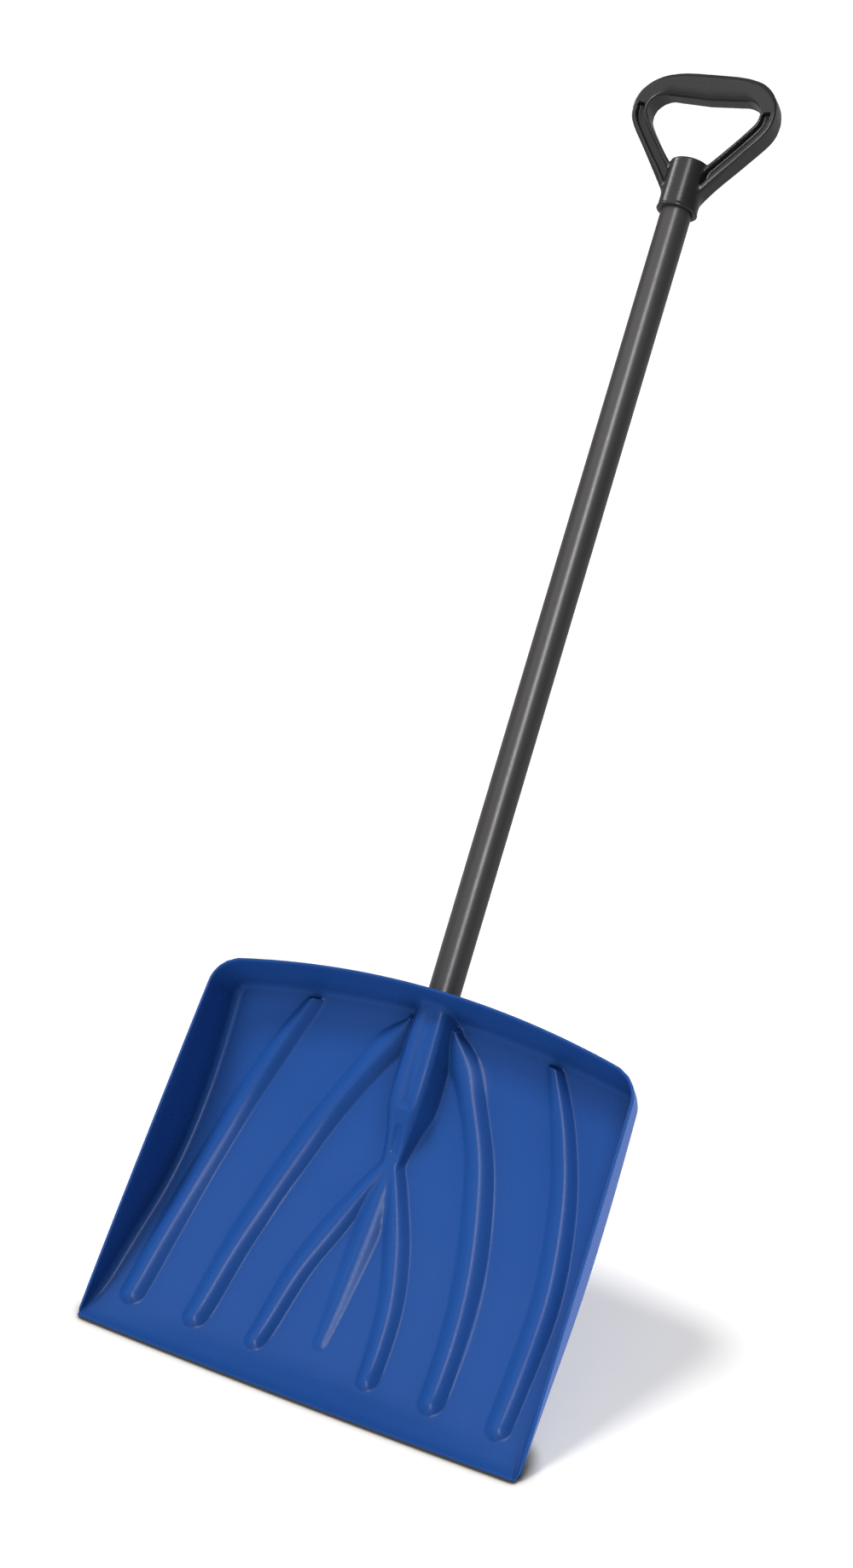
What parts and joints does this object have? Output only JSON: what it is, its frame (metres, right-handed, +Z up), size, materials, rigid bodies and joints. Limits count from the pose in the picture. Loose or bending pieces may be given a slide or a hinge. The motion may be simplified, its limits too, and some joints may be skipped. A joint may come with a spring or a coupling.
{
  "type": "snow shovel",
  "caption": "Snow shovel: wide ribbed plastic scoop with raised side walls, long straight resin-cased steel shaft and a D-grip handle.",
  "frame": {"origin": "on the floor at the middle of the cutting edge, on its blunt flat underside, 4 mm behind the edge's front corner", "axes": "+Z up; +X to the right along the cutting edge; the hollow of the scoop faces -Y; the shaft leans back 37 degrees from upright towards +Y, as when the shovel is held for pushing snow"},
  "size_m": [0.4564, 0.8798, 1.0161],
  "materials": {
    "blue_plastic": "satin",
    "sleeve_resin": "satin",
    "core_steel": "satin",
    "grip_plastic": "satin",
    "screw_zinc": "satin"
  },
  "bodies": {
    "root": {"blade": "blue_plastic", "shaft_sleeve": "sleeve_resin", "shaft_core": "core_steel", "grip": "grip_plastic", "grip_screw": "screw_zinc", "blade_screw_upper": "screw_zinc", "blade_screw_lower": "screw_zinc"}
  },
  "joints": []
}
